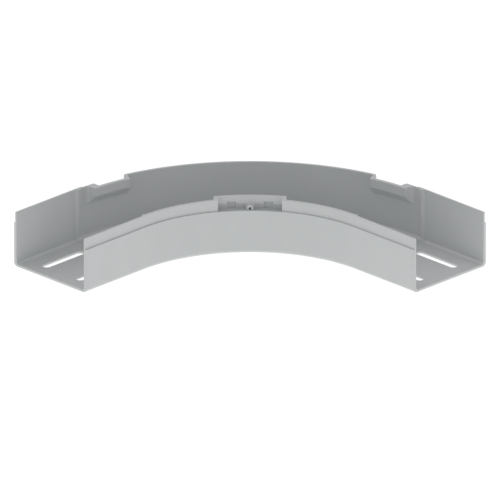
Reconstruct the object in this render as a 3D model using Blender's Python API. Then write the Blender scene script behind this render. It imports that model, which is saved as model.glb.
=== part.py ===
"""Flat ninety-degree bend of an insulating cable tray, moulded in one piece. Metres, +Z up.

A U channel turns through a quarter circle between two straight sockets. A straight tray slides into
each socket, up to a stop, and a cover sits on the rebate that runs along the top of both walls.
"""

import math

import bmesh
import bpy
from mathutils import Vector

# Channel. The sockets take a tray of 100 mm, and the walls of the curve start behind the stop
TRAY_WIDTH = 0.1000
TRAY_CLEARANCE = 0.0002
HEIGHT = 0.0616
SOCKET_LENGTH = 0.0886
SOCKET_WALL = 0.0035
SOCKET_BASE = 0.0024
CURVE_WALL = 0.0045
BEND_RADIUS = 0.1560
EDGE_RADIUS = 0.0047
CORNER_CHAMFER = 0.0020

# Stop that a tray's end meets: a ramp, a crest flush with the inside of the tray, and a short fall.
# The ramp starts in the socket and ends in the curve
TRAY_WALL = 0.0025
STOP_START = 0.0011
STOP_CREST = 0.0018
STOP_FALL = 0.0030

# Rebate for the cover
REBATE_DEPTH = 0.0016
REBATE_DROP = 0.0125

# Fixing slots, two in the base of each socket, a little nearer to the inner wall than to the outer
SLOT_LENGTH = 0.0590
SLOT_WIDTH = 0.0095
SLOT_SPACING = 0.0500
SLOT_SHIFT = 0.0004

# Clip pockets in the outer wall. Starts are measured along the leg, ends across from the bisector
CLIP_RECESS_START = 0.0088
CLIP_RECESS_SKIN = 0.0009
CLIP_RECESS_LAND = 0.0004
CLIP_START = 0.0252
CLIP_END = 0.1332
CLIP_DEPTH = 0.0100
CLIP_DROP = 0.0096
CLIP_PLATE = 0.0040
CLIP_START_WALL = 0.0089
CLIP_END_WALL = 0.0068
CLIP_END_TILT = math.radians(16)
CLIP_FOOT_RADIUS = 0.0047

# Lock pocket at the middle of the inner wall. Its floor starts a step below the rebate and falls towards
# the plate behind it
LOCK_WIDTH = 0.0676
LOCK_DEPTH = 0.0085
LOCK_STEP = 0.0002
LOCK_FALL = 0.0018
LOCK_PLATE = 0.0038
LOCK_SIDE = 0.0046
LOCK_FOOT_RADIUS = 0.0022
LOCK_FLOOR = 0.0060

# Catches on that plate: a thicker band with a window on each side of the middle, whose top edge is the
# bead that the cover snaps under, and a notch through each bead
CATCH_DROP = 0.0067
CATCH_REACH = 0.0012
CATCH_SLOPE = 0.0011
CATCH_EDGE = 0.0003
WINDOW_DEPTH = 0.0006
WINDOW_SILL = 0.0004
WINDOW_GAP = 0.0106
WINDOW_LAND = 0.0004
NOTCH_WIDTH = 0.0093
NOTCH_MIDDLE = 0.0197
NOTCH_DEPTH = 0.0022
NOTCH_RISE = 0.0006
NOTCH_SILL = 0.0007

# Boss for the cover's screw, at the middle of the plate
SCREW_BOSS_RADIUS = 0.0036
SCREW_BOSS_LENGTH = 0.0072
SCREW_BOSS_LIFT = 0.0011
PILOT_RADIUS = 0.0015
PILOT_DEPTH = 0.0080

# Facets
CURVE_STEPS = 44
EIGHTH_STEPS = 22
POCKET_STEPS = 14
STRIP_STEPS = 7
EDGE_STEPS = 6
FOOT_STEPS = 5
ROUND_STEPS = 24
WALL_OVERLAP = 0.0012
OVERSHOOT = 0.0060
SHARP_EDGE = math.radians(30)

# Sizes that follow from those above
OUTER_RADIUS = BEND_RADIUS + TRAY_WIDTH + 2 * (TRAY_CLEARANCE + SOCKET_WALL)
MIDDLE_RADIUS = (BEND_RADIUS + OUTER_RADIUS) / 2
INNER_WALL_FACE = BEND_RADIUS + CURVE_WALL
OUTER_WALL_FACE = OUTER_RADIUS - CURVE_WALL
CURVE_BASE = SOCKET_BASE + TRAY_WALL
STOP_WALL = SOCKET_WALL + TRAY_WALL
REBATE_LEVEL = HEIGHT - REBATE_DROP
CATCH_LEVEL = HEIGHT - CATCH_DROP
WINDOW_LEVEL = CATCH_LEVEL - CATCH_SLOPE - CATCH_EDGE
CLIP_BACK = OUTER_RADIUS - REBATE_DEPTH - CLIP_DEPTH
CLIP_FRONT = CLIP_BACK - CLIP_PLATE
CLIP_LEVEL = HEIGHT - CLIP_DROP
LOCK_BACK = BEND_RADIUS + REBATE_DEPTH + LOCK_DEPTH
LOCK_FRONT = LOCK_BACK + LOCK_PLATE
CATCH_FACE = LOCK_BACK - CATCH_REACH
QUARTER = math.pi / 2
BISECTOR = math.pi / 4


def arc(centre, radius, start, end, steps):
    """Points along an arc, both ends included, with angles counted from +X towards +Y."""
    turns = [start + (end - start) * step / steps for step in range(steps + 1)]
    return [Vector((centre[0] + radius * math.cos(a), centre[1] + radius * math.sin(a))) for a in turns]


def reach(point, direction, radius):
    """The point where a ray from inside a circle about the bend's centre meets that circle."""
    along = point.dot(direction)
    return point + direction * (math.sqrt(along**2 - point.length_squared + radius**2) - along)


def polar(radius, angle):
    return Vector((radius * math.cos(angle), radius * math.sin(angle)))


def loft(name, rings, parent):
    """A closed solid through rings of equal length, capped at its first and last ring."""
    shape = bmesh.new()
    loops = [[shape.verts.new(point) for point in ring] for ring in rings]
    for lower, upper in zip(loops, loops[1:]):
        for i in range(len(lower)):
            shape.faces.new((lower[i - 1], lower[i], upper[i], upper[i - 1]))
    shape.faces.new(loops[0])
    shape.faces.new(reversed(loops[-1]))
    bmesh.ops.recalc_face_normals(shape, faces=shape.faces)
    mesh = bpy.data.meshes.new(name)
    shape.to_mesh(mesh)
    shape.free()
    made = bpy.data.objects.new(name, mesh)
    bpy.context.scene.collection.objects.link(made)
    made.parent = parent
    return made


def prism(name, outline, low, high, parent):
    """An outline in plan, raised from one level to another."""
    return loft(name, [[(p.x, p.y, z) for p in outline] for z in (low, high)], parent)


def turned(name, profile, start, end, steps, parent):
    """A profile of (radius, level) points turned about the bend's centre."""
    turns = [start + (end - start) * step / steps for step in range(steps + 1)]
    rings = [[(*polar(radius, angle), level) for radius, level in profile] for angle in turns]
    return loft(name, rings, parent)


def combine(body, tool, operation):
    """Joins a helper to the body or cuts it away, and hides the helper."""
    modifier = body.modifiers.new(tool.name, "BOOLEAN")
    modifier.operation = operation
    modifier.object = tool
    modifier.solver = "EXACT"
    tool.hide_render = True
    tool.display_type = "WIRE"


def channel_section(wall, base):
    """The U section as (distance from the bend's centre, level), for one wall and base thickness."""
    near = BEND_RADIUS
    far = OUTER_RADIUS
    edge = EDGE_RADIUS
    section = arc((near + edge, edge), edge, math.pi, 1.5 * math.pi, EDGE_STEPS)
    section += arc((far - edge, edge), edge, -QUARTER, 0, EDGE_STEPS)
    section += [Vector((far, REBATE_LEVEL)), Vector((far - REBATE_DEPTH, REBATE_LEVEL))]
    section += [Vector((far - REBATE_DEPTH, HEIGHT)), Vector((far - wall, HEIGHT))]
    section += [Vector((far - wall, base + CORNER_CHAMFER)), Vector((far - wall - CORNER_CHAMFER, base))]
    section += [Vector((near + wall + CORNER_CHAMFER, base)), Vector((near + wall, base + CORNER_CHAMFER))]
    section += [Vector((near + wall, HEIGHT)), Vector((near + REBATE_DEPTH, HEIGHT))]
    section += [Vector((near + REBATE_DEPTH, REBATE_LEVEL)), Vector((near, REBATE_LEVEL))]
    return section


def channel(parent):
    """The channel, from the mouth of one socket round the curve to the mouth of the other."""
    socket = channel_section(SOCKET_WALL, SOCKET_BASE)
    stop = channel_section(STOP_WALL, CURVE_BASE)
    curve = channel_section(CURVE_WALL, CURVE_BASE)
    ramp_turn = (TRAY_WALL - STOP_START) / MIDDLE_RADIUS
    crest_turn = ramp_turn + STOP_CREST / MIDDLE_RADIUS
    fall_turn = crest_turn + STOP_FALL / MIDDLE_RADIUS
    step = (QUARTER - 2 * fall_turn) / CURVE_STEPS
    turns = [(ramp_turn, stop), (crest_turn, stop)]
    turns += [(fall_turn + step * i, curve) for i in range(CURVE_STEPS + 1)]
    turns += [(QUARTER - crest_turn, stop), (QUARTER - ramp_turn, stop)]
    rings = [[(-back, r, z) for r, z in socket] for back in (SOCKET_LENGTH, STOP_START)]
    rings += [[(*polar(r, QUARTER - turn), z) for r, z in section] for turn, section in turns]
    rings += [[(r, -back, z) for r, z in socket] for back in (STOP_START, SOCKET_LENGTH)]
    return loft("bend_body", rings, parent)


def cut_slots(body, parent):
    """Round-ended fixing slots through the base, two side by side in each socket."""
    radius = SLOT_WIDTH / 2
    half = SLOT_LENGTH / 2 - radius
    outline = arc((half, 0), radius, -QUARTER, QUARTER, ROUND_STEPS // 2)
    outline += arc((-half, 0), radius, QUARTER, 3 * QUARTER, ROUND_STEPS // 2)
    for side in (-1, 1):
        across = MIDDLE_RADIUS - SLOT_SHIFT + side * SLOT_SPACING / 2
        for leg, turn in enumerate((0, QUARTER)):
            slot = prism(f"slot_{leg}_{side}", outline, -OVERSHOOT, CURVE_BASE, parent)
            along = (-SOCKET_LENGTH / 2, across)
            slot.location = (along[leg], along[1 - leg], 0)
            slot.rotation_euler = (0, 0, turn)
            combine(body, slot, "DIFFERENCE")


def swapped(outline, mirrored):
    """The outline as drawn for the first leg, or its mirror image for the second."""
    return [point.yx for point in outline] if mirrored else outline


def clip_boss_outline():
    """Plan of the boss that carries a clip pocket into the channel, with a foot towards the socket."""
    inside_wall = OUTER_WALL_FACE + WALL_OVERLAP
    side = CLIP_START - CLIP_START_WALL
    foot_x = side - CLIP_FOOT_RADIUS
    foot_y = math.sqrt((OUTER_WALL_FACE - CLIP_FOOT_RADIUS) ** 2 - foot_x**2)
    foot_turn = math.atan2(foot_y, foot_x)
    first = math.acos(side / CLIP_FRONT)
    last = BISECTOR + math.asin((CLIP_END - CLIP_END_WALL) / CLIP_FRONT)
    tilted = polar(1, BISECTOR + CLIP_END_TILT)
    corner = reach(polar(CLIP_FRONT, last), tilted, inside_wall)
    outline = [polar(inside_wall, foot_turn)]
    outline += arc((foot_x, foot_y), CLIP_FOOT_RADIUS, foot_turn, 0, FOOT_STEPS)
    outline += arc((0, 0), CLIP_FRONT, first, last, POCKET_STEPS)
    corner_turn = math.atan2(corner.y, corner.x)
    outline += arc((0, 0), inside_wall, corner_turn, foot_turn, POCKET_STEPS)[:-1]
    return outline


def sloping_tool(name, front, wall, level, start, end, parent):
    """All that lies above an underside which falls at 45 degrees from the boss's front to the wall."""
    away = math.copysign(OVERSHOOT, wall - front)
    profile = [(front - away, level + OVERSHOOT), (wall + away, level - abs(wall + away - front))]
    profile += [(wall + away, HEIGHT + OVERSHOOT), (front - away, HEIGHT + OVERSHOOT)]
    return turned(name, profile, start, end, EIGHTH_STEPS, parent)


def clip_pocket_outline(radius):
    """Plan of a clip pocket as deep as this radius, from its wall near the socket to its far wall."""
    beyond = OUTER_RADIUS + OVERSHOOT
    first = math.acos(CLIP_START / radius)
    last = BISECTOR + math.asin(CLIP_END / radius)
    outline = arc((0, 0), radius, first, last, POCKET_STEPS)
    outline.append(reach(outline[-1], polar(1, BISECTOR), beyond))
    outline.append(Vector((CLIP_START, beyond)))
    return outline


def clip_recess_outline(radius):
    """Plan of the shallow recess that leads into a clip pocket, with a ramp at 45 degrees."""
    beyond = OUTER_RADIUS + OVERSHOOT
    strip = OUTER_RADIUS - REBATE_DEPTH
    start = Vector((CLIP_RECESS_START, math.sqrt(strip**2 - CLIP_RECESS_START**2)))
    outward = polar(1, QUARTER + BISECTOR)
    foot = start - outward * (strip - radius) * math.sqrt(2)
    last = BISECTOR + math.asin((CLIP_END - CLIP_RECESS_LAND) / radius)
    outline = [start + outward * (beyond - strip) * math.sqrt(2)]
    outline += arc((0, 0), radius, math.atan2(foot.y, foot.x), last, POCKET_STEPS)
    outline.append(reach(outline[-1], polar(1, BISECTOR), beyond))
    outline.append(Vector((CLIP_START, beyond)))
    return outline


def add_clip_pocket(body, mirrored, parent):
    """One pocket in the outer wall, its boss in the channel, and the recess that leads into it."""
    suffix = "b" if mirrored else "a"
    outline = swapped(clip_boss_outline(), mirrored)
    boss = prism(f"clip_boss_{suffix}", outline, CURVE_BASE, HEIGHT, parent)
    start, end = (0, BISECTOR) if mirrored else (BISECTOR, QUARTER)
    above = (CLIP_FRONT, OUTER_WALL_FACE, CLIP_LEVEL)
    slope = sloping_tool(f"clip_slope_{suffix}", *above, start, end, parent)
    combine(boss, slope, "INTERSECT")
    combine(body, boss, "UNION")
    recess = swapped(clip_recess_outline(OUTER_WALL_FACE + CLIP_RECESS_SKIN), mirrored)
    pocket = swapped(clip_pocket_outline(CLIP_BACK), mirrored)
    top = HEIGHT + OVERSHOOT
    combine(body, prism(f"clip_recess_{suffix}", recess, REBATE_LEVEL, top, parent), "DIFFERENCE")
    combine(body, prism(f"clip_pocket_{suffix}", pocket, CLIP_LEVEL, top, parent), "DIFFERENCE")


def facing_bisector(made):
    """Turns a piece that was drawn with +Y along the bisector of the bend."""
    made.rotation_euler = (0, 0, -BISECTOR)
    return made


def lock_box_outline():
    """Plan of the box behind the lock pocket, widened by a fillet where it meets the inner wall."""
    half = LOCK_WIDTH / 2 + LOCK_SIDE
    inside_wall = INNER_WALL_FACE - WALL_OVERLAP
    foot_x = half + LOCK_FOOT_RADIUS
    foot_y = math.sqrt((INNER_WALL_FACE + LOCK_FOOT_RADIUS) ** 2 - foot_x**2)
    foot_turn = math.atan2(foot_y, foot_x)
    corner = math.acos(half / LOCK_FRONT)
    foot = arc((foot_x, foot_y), LOCK_FOOT_RADIUS, foot_turn + math.pi, math.pi, FOOT_STEPS)
    outline = foot + arc((0, 0), LOCK_FRONT, corner, math.pi - corner, POCKET_STEPS)
    outline += [Vector((-point.x, point.y)) for point in reversed(foot)]
    return outline + arc((0, 0), inside_wall, math.pi - foot_turn, foot_turn, POCKET_STEPS)


def strip(name, profile, left, right, parent):
    """A profile of (radius, level) points that follows the bend between two planes along the bisector."""
    places = [left + (right - left) * step / STRIP_STEPS for step in range(STRIP_STEPS + 1)]
    rings = [[(x, math.sqrt(radius**2 - x**2), level) for radius, level in profile] for x in places]
    return facing_bisector(loft(name, rings, parent))


def lock_floor(radius):
    """The level of the lock pocket's floor at a distance from the bend's centre."""
    return REBATE_LEVEL - LOCK_STEP - LOCK_FALL * (radius - BEND_RADIUS) / (LOCK_BACK - BEND_RADIUS)


def add_lock_pocket(body, parent):
    """The pocket at the middle of the inner wall, open to the outside of the bend and upwards."""
    box = facing_bisector(prism("lock_box", lock_box_outline(), CURVE_BASE, HEIGHT, parent))
    underside = REBATE_LEVEL - LOCK_FLOOR + LOCK_PLATE
    slope = sloping_tool("lock_slope", LOCK_FRONT, INNER_WALL_FACE, underside, 0, QUARTER, parent)
    combine(box, slope, "INTERSECT")
    combine(body, box, "UNION")
    near = BEND_RADIUS - OVERSHOOT
    top = HEIGHT + OVERSHOOT
    profile = [(near, lock_floor(near)), (LOCK_BACK, lock_floor(LOCK_BACK)), (LOCK_BACK, top), (near, top)]
    pocket = strip("lock_pocket", profile, -LOCK_WIDTH / 2, LOCK_WIDTH / 2, parent)
    combine(body, pocket, "DIFFERENCE")


def recess_profile(depth, sill, level):
    """Profile of a recess in the catches, from just above the pocket's floor up to a level."""
    near = CATCH_FACE - WALL_OVERLAP
    far = LOCK_BACK + depth
    low = lock_floor(CATCH_FACE) + sill
    return [(near, low + LOCK_FALL), (CATCH_FACE, low), (far, low), (far, level), (near, level)]


def add_catches(body, parent):
    """A band across the plate with a sloping top, then a window and a notch on each side of the boss."""
    half = LOCK_WIDTH / 2
    root = LOCK_BACK + WALL_OVERLAP
    foot = lock_floor(LOCK_BACK) - WALL_OVERLAP
    profile = [(root, foot), (root, CATCH_LEVEL), (LOCK_BACK, CATCH_LEVEL)]
    profile += [(CATCH_FACE, CATCH_LEVEL - CATCH_SLOPE), (CATCH_FACE, foot)]
    band = strip("catch_band", profile, -half - WALL_OVERLAP, half + WALL_OVERLAP, parent)
    combine(body, band, "UNION")
    window_profile = recess_profile(WINDOW_DEPTH, WINDOW_SILL, WINDOW_LEVEL)
    notch_profile = recess_profile(NOTCH_DEPTH, NOTCH_SILL, CATCH_LEVEL + NOTCH_RISE)
    for side in (-1, 1):
        inner, outer = side * WINDOW_GAP / 2, side * (half - WINDOW_LAND)
        combine(body, strip(f"window_{side}", window_profile, inner, outer, parent), "DIFFERENCE")
        start, end = (side * (NOTCH_MIDDLE + share * NOTCH_WIDTH) for share in (-0.5, 0.5))
        combine(body, strip(f"notch_{side}", notch_profile, start, end, parent), "DIFFERENCE")


def cylinder(name, radius, start, length, level, parent):
    """A round bar along the bisector, from this distance outwards."""
    circle = arc((0, level), radius, 0, 2 * math.pi, ROUND_STEPS)[:-1]
    rings = [[(x, start + reached, z) for x, z in circle] for reached in (0, length)]
    return facing_bisector(loft(name, rings, parent))


def add_screw_boss(body, parent):
    """A round boss between the windows, with a blind pilot hole for the cover's screw."""
    level = REBATE_LEVEL + SCREW_BOSS_LIFT
    tip = LOCK_BACK - SCREW_BOSS_LENGTH
    length = SCREW_BOSS_LENGTH + WALL_OVERLAP
    boss = cylinder("screw_boss", SCREW_BOSS_RADIUS, tip, length, level, parent)
    combine(body, boss, "UNION")
    hole = cylinder("pilot_hole", PILOT_RADIUS, tip - OVERSHOOT, OVERSHOOT + PILOT_DEPTH, level, parent)
    combine(body, hole, "DIFFERENCE")


def grey_plastic():
    """Light grey rigid PVC, slightly cool, with a satin surface."""
    material = bpy.data.materials.new("grey_pvc")
    material.use_nodes = True
    shader = material.node_tree.nodes["Principled BSDF"]
    shader.inputs["Base Color"].default_value = (0.52, 0.54, 0.545, 1)
    shader.inputs["Roughness"].default_value = 0.45
    shader.inputs["Metallic"].default_value = 0
    return material


def bend():
    """The whole moulding, standing on its base with its origin below the middle of its plan."""
    centre = bpy.data.objects.new("bend_centre", None)
    bpy.context.scene.collection.objects.link(centre)
    shift = (SOCKET_LENGTH - OUTER_RADIUS) / 2
    centre.location = (shift, shift, 0)
    body = channel(centre)
    add_clip_pocket(body, False, centre)
    add_clip_pocket(body, True, centre)
    add_lock_pocket(body, centre)
    add_catches(body, centre)
    add_screw_boss(body, centre)
    cut_slots(body, centre)
    body.data.shade_smooth()
    body.data.set_sharp_from_angle(angle=SHARP_EDGE)
    body.data.materials.append(grey_plastic())


for leftover in list(bpy.data.objects):
    bpy.data.objects.remove(leftover)
bend()
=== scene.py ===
"""Looks of the cable tray bend: light grey moulded plastic on a plain white table in soft light.

Lengths are in metres and +Z is up, as in the frame.
"""

import math

import bmesh
import bpy
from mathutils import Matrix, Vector


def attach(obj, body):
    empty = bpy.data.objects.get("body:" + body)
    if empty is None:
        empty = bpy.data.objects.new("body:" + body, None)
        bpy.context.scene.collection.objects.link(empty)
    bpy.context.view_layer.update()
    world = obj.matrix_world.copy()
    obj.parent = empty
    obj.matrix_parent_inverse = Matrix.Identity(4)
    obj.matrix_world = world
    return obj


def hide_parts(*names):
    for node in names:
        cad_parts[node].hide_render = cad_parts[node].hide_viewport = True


# The photograph's view: parallel projection along the bend's bisector. The centre of the curve, at the
# table's level, lies on the photograph's middle column and on the row named here
PHOTO_PIXELS = 500
METRES_PER_PIXEL = 0.0010554
CAMERA_AZIMUTH = math.radians(-45)
CAMERA_ELEVATION = math.radians(22.72)
CAMERA_DISTANCE = 2.0
CURVE_CENTRE = Vector((-0.0874, -0.0874, 0))
CURVE_CENTRE_ROW = 310.6

# Light: a white sky, a white table that glows, and two weak lamps. A lamp's turn is counted from the camera
# towards its right, and its rise from the level
WHITE = (1, 1, 1, 1)
SKY_STRENGTH = 0.569
LAMP_SPREAD = math.radians(50)
BACK_LAMP = {"turn": math.radians(225), "rise": math.radians(40), "strength": 0.49, "colour": (0.98, 0.94, 1)}
SIDE_LAMP = {"turn": math.radians(90), "rise": math.radians(15), "strength": 0.14, "colour": (1, 0.9, 0.98)}

# Table, whose top lies just below the part
TABLE_SIZE = 12.0
TABLE_DEPTH = 1.0
TABLE_GAP = 0.0002
TABLE_GREY = (0.2, 0.2, 0.2, 1)
TABLE_ROUGHNESS = 0.9
TABLE_GLOW = 0.905

# Shape of the moulding: points closer than the length are one point, faces within the first angle are one
# flat face, and edges over the second angle are shaded sharp. At more than 50, large faces lead the shading
# of the corners that they share with small ones
SAME_POINT = 0.000002
FLAT_ANGLE = math.radians(0.1)
SHARP_ANGLE = math.radians(30)
FLAT_FACES_LEAD = 80

# Plastic
PLASTIC_GREY = (0.604, 0.622, 0.623)
PLASTIC_ROUGHNESS = 0.42
PLASTIC_IOR = 1.53

# Patterns in the plastic, which run from 0 to 1: cells in each metre, and levels of finer detail. The flow
# marks are wavering rings round the middle of the inner wall, and at this scale they are 35 mm apart
CLOUD = {"scale": 16, "detail": 2}
MOTTLE = {"scale": 170, "detail": 3}
GRAIN = {"scale": 1300, "detail": 1}
RUB = {"scale": 90, "detail": 3}
WAVE = {"scale": 40, "detail": 1}
FLOW = {"centre": (0.0247, 0.0247, 0.03), "scale": 9, "distortion": 3, "detail": 2}
MIDDLE = 0.5

# How far wear reaches from an edge and pale dust with painted light from a crease, and how round the edges
# look
WEAR_REACH = 0.0007
DUST_AND_PAINTED_LIGHT_REACH = 0.0025
EDGE_RADIUS = 0.0004
EDGE_SAMPLES = 6

# What each pattern does to the grey, as a share of it, and the most that they do together
CLOUD_SHADE = 0.024
MOTTLE_SHADE = 0.024
GRAIN_SHADE = 0.06
FLOW_SHADE = 0.012
WEAR_SHADE = 0.06
# Creases made lighter: partly pale dust, partly painted light that lifts the shade in them
DUST_AND_PAINTED_LIGHT_SHADE = 0.08
SHADE_RANGE = 0.16

# What each pattern adds to the roughness. Wear polishes
CLOUD_ROUGHNESS = 0.06
MOTTLE_ROUGHNESS = 0.05
WEAR_ROUGHNESS = -0.08

# Heights of the bumps
WAVE_HEIGHT = 0.00008
GRAIN_HEIGHT = 0.00003


def camera_axes(azimuth, elevation):
    """Right, up and backward directions of a camera that looks at the part from these angles."""
    level = math.cos(elevation)
    back = Vector((math.sin(azimuth) * level, -math.cos(azimuth) * level, math.sin(elevation)))
    right = Vector((math.cos(azimuth), math.sin(azimuth), 0))
    return right, back.cross(right), back


def placed(name, data):
    """A new object of the scene with this data."""
    made = bpy.data.objects.new(name, data)
    bpy.context.scene.collection.objects.link(made)
    return made


def add_camera():
    """A camera without perspective whose picture lines up with the photograph."""
    data = bpy.data.cameras.new("camera")
    data.type = "ORTHO"
    data.ortho_scale = PHOTO_PIXELS * METRES_PER_PIXEL
    camera = placed("camera", data)
    _, up, back = camera_axes(CAMERA_AZIMUTH, CAMERA_ELEVATION)
    rise = (CURVE_CENTRE_ROW - PHOTO_PIXELS / 2) * METRES_PER_PIXEL
    camera.location = CURVE_CENTRE + up * rise + back * CAMERA_DISTANCE
    camera.rotation_euler = back.to_track_quat("Z", "Y").to_euler()
    bpy.context.scene.camera = camera


def add_sky():
    """An even white sky."""
    world = bpy.data.worlds.new("studio")
    bpy.context.scene.world = world
    world.use_nodes = True
    background = world.node_tree.nodes["Background"]
    background.inputs["Color"].default_value = WHITE
    background.inputs["Strength"].default_value = SKY_STRENGTH


def add_lamp(name, turn, rise, strength, colour):
    """A wide, soft and distant lamp."""
    data = bpy.data.lights.new(name, "SUN")
    data.angle = LAMP_SPREAD
    data.energy = strength
    data.color = colour
    lamp = placed(name, data)
    _, _, towards = camera_axes(CAMERA_AZIMUTH + turn, rise)
    lamp.rotation_euler = towards.to_track_quat("Z", "Y").to_euler()


def white_table():
    """Matt white that gives off light, so that the table shows no shadow."""
    material = bpy.data.materials.new("white_table")
    material.use_nodes = True
    shader = material.node_tree.nodes["Principled BSDF"]
    shader.inputs["Base Color"].default_value = TABLE_GREY
    shader.inputs["Roughness"].default_value = TABLE_ROUGHNESS
    shader.inputs["Specular IOR Level"].default_value = 0
    shader.inputs["Emission Color"].default_value = WHITE
    shader.inputs["Emission Strength"].default_value = TABLE_GLOW
    return material


def add_floor():
    """The table: a thick slab, so that low views see white below its top too."""
    mesh = bpy.data.meshes.new("floor")
    slab = bmesh.new()
    bmesh.ops.create_cube(slab, size=1)
    bmesh.ops.scale(slab, vec=(TABLE_SIZE, TABLE_SIZE, TABLE_DEPTH), verts=slab.verts)
    bmesh.ops.translate(slab, vec=(0, 0, -TABLE_DEPTH / 2 - TABLE_GAP), verts=slab.verts)
    slab.to_mesh(mesh)
    slab.free()
    mesh.materials.append(white_table())
    placed("floor", mesh)


def smooth_moulding(node):
    """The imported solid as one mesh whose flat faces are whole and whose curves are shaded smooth."""
    mesh = bpy.data.meshes.new("moulding")
    corners = [vertex.co for vertex in node.data.vertices]
    mesh.from_pydata(corners, [], [list(face.vertices) for face in node.data.polygons])
    shape = bmesh.new()
    shape.from_mesh(mesh)
    bmesh.ops.remove_doubles(shape, verts=shape.verts, dist=SAME_POINT)
    bmesh.ops.dissolve_limit(
        shape,
        angle_limit=FLAT_ANGLE,
        use_dissolve_boundaries=False,
        verts=shape.verts,
        edges=shape.edges,
    )
    for face in shape.faces:
        face.smooth = True
    for edge in shape.edges:
        edge.smooth = edge.calc_face_angle() < SHARP_ANGLE
    shape.to_mesh(mesh)
    shape.free()
    piece = placed("moulding", mesh)
    evened = piece.modifiers.new("flat_faces", "WEIGHTED_NORMAL")
    evened.weight = FLAT_FACES_LEAD
    evened.keep_sharp = True
    return piece


class Nodes:
    """Short calls that add nodes to one material and link them."""

    def __init__(self, material):
        material.use_nodes = True
        self.tree = material.node_tree
        self.shader = self.tree.nodes["Principled BSDF"]
        self.place = self.tree.nodes.new("ShaderNodeTexCoord").outputs["Object"]

    def link(self, value, socket):
        """Sets a socket to a number, or links an output to it."""
        if isinstance(value, (int, float)):
            socket.default_value = value
        else:
            self.tree.links.new(value, socket)

    def calculate(self, operation, *values):
        """One step of arithmetic with numbers or outputs."""
        node = self.tree.nodes.new("ShaderNodeMath")
        node.operation = operation
        for value, socket in zip(values, node.inputs):
            self.link(value, socket)
        return node.outputs[0]

    def noise(self, scale, detail):
        """Noise from 0 to 1."""
        node = self.tree.nodes.new("ShaderNodeTexNoise")
        node.inputs["Scale"].default_value = scale
        node.inputs["Detail"].default_value = detail
        self.link(self.place, node.inputs["Vector"])
        return node.outputs["Fac"]

    def rings(self, centre, scale, distortion, detail):
        """Wavering rings round a point, from 0 to 1."""
        moved = self.tree.nodes.new("ShaderNodeVectorMath")
        moved.operation = "SUBTRACT"
        self.link(self.place, moved.inputs[0])
        moved.inputs[1].default_value = centre
        node = self.tree.nodes.new("ShaderNodeTexWave")
        node.wave_type = "RINGS"
        node.rings_direction = "SPHERICAL"
        node.inputs["Scale"].default_value = scale
        node.inputs["Distortion"].default_value = distortion
        node.inputs["Detail"].default_value = detail
        self.link(moved.outputs[0], node.inputs["Vector"])
        return node.outputs["Fac"]

    def closeness(self, reach, inside):
        """0 on open faces and more in a crease, or at an outer edge where inside is true."""
        node = self.tree.nodes.new("ShaderNodeAmbientOcclusion")
        node.samples = EDGE_SAMPLES
        node.inside = inside
        node.only_local = True
        node.inputs["Distance"].default_value = reach
        return self.calculate("SUBTRACT", 1, node.outputs["AO"])

    def weighted_sum(self, *terms):
        """The sum of patterns, each less its neutral level and times its weight."""
        total = 0
        for pattern, neutral, weight in terms:
            part = self.calculate("MULTIPLY", self.calculate("SUBTRACT", pattern, neutral), weight)
            total = self.calculate("ADD", part, total)
        return total

    def shaded(self, colour, shade):
        """A colour made lighter by a share of itself, or darker by a negative one, within SHADE_RANGE."""
        node = self.tree.nodes.new("ShaderNodeMix")
        node.data_type = "RGBA"
        node.inputs["A"].default_value = (*[value * (1 - SHADE_RANGE) for value in colour], 1)
        node.inputs["B"].default_value = (*[value * (1 + SHADE_RANGE) for value in colour], 1)
        level = self.calculate("ADD", self.calculate("DIVIDE", shade, 2 * SHADE_RANGE), MIDDLE)
        self.link(level, node.inputs["Factor"])
        return node.outputs["Result"]

    def rounded_edges(self, radius):
        """The surface's normal as it would be with its edges rounded."""
        node = self.tree.nodes.new("ShaderNodeBevel")
        node.samples = EDGE_SAMPLES
        node.inputs["Radius"].default_value = radius
        return node.outputs["Normal"]

    def bump(self, height, distance, normal):
        """A normal tilted by a pattern of heights."""
        node = self.tree.nodes.new("ShaderNodeBump")
        node.inputs["Distance"].default_value = distance
        self.link(height, node.inputs["Height"])
        self.link(normal, node.inputs["Normal"])
        return node.outputs["Normal"]


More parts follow.
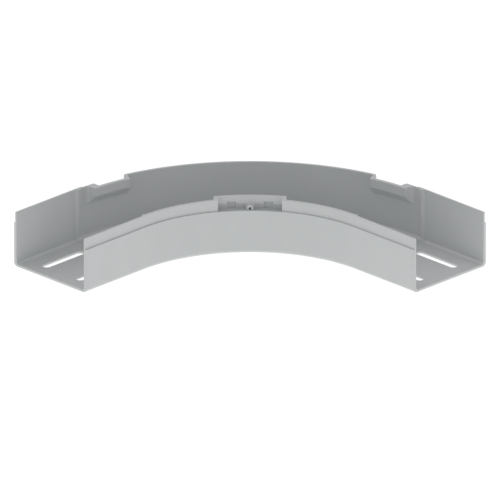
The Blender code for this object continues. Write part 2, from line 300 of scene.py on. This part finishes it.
def grey_plastic():
    """Satin moulded PVC: faintly clouded and flow-marked, rubbed at its edges, with pale dust and painted
    light in its creases.
    """
    material = bpy.data.materials.new("grey_pvc")
    nodes = Nodes(material)
    cloud = nodes.noise(**CLOUD)
    mottle = nodes.noise(**MOTTLE)
    grain = nodes.noise(**GRAIN)
    flow = nodes.rings(**FLOW)
    wear = nodes.calculate("MULTIPLY", nodes.closeness(WEAR_REACH, True), nodes.noise(**RUB))
    # Creases made lighter: partly pale dust, partly painted light that lifts the shade in them
    dust_and_painted_light = nodes.calculate("MULTIPLY", nodes.closeness(DUST_AND_PAINTED_LIGHT_REACH, False), mottle)
    shade = nodes.weighted_sum(
        (cloud, MIDDLE, CLOUD_SHADE),
        (mottle, MIDDLE, MOTTLE_SHADE),
        (grain, MIDDLE, GRAIN_SHADE),
        (flow, MIDDLE, FLOW_SHADE),
        (wear, 0, WEAR_SHADE),
        (dust_and_painted_light, 0, DUST_AND_PAINTED_LIGHT_SHADE),
    )
    unevenness = nodes.weighted_sum(
        (cloud, MIDDLE, CLOUD_ROUGHNESS),
        (mottle, MIDDLE, MOTTLE_ROUGHNESS),
        (wear, 0, WEAR_ROUGHNESS),
    )
    roughness = nodes.calculate("ADD", unevenness, PLASTIC_ROUGHNESS)
    waved = nodes.bump(nodes.noise(**WAVE), WAVE_HEIGHT, nodes.rounded_edges(EDGE_RADIUS))
    normal = nodes.bump(grain, GRAIN_HEIGHT, waved)
    nodes.link(nodes.shaded(PLASTIC_GREY, shade), nodes.shader.inputs["Base Color"])
    nodes.link(roughness, nodes.shader.inputs["Roughness"])
    nodes.link(normal, nodes.shader.inputs["Normal"])
    nodes.shader.inputs["IOR"].default_value = PLASTIC_IOR
    return material


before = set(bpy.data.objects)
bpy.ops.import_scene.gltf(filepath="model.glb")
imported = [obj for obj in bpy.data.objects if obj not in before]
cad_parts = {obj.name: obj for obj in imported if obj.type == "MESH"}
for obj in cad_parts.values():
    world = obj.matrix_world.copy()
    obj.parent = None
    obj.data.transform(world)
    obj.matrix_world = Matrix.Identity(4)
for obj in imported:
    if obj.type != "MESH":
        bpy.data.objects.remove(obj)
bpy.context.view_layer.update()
moulding = smooth_moulding(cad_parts["bend_body"])
moulding.data.materials.append(grey_plastic())
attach(moulding, "root")
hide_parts("bend_body")
add_camera()
add_sky()
add_lamp("back_lamp", **BACK_LAMP)
add_lamp("side_lamp", **SIDE_LAMP)
add_floor()
bpy.context.scene.view_settings.view_transform = "Standard"
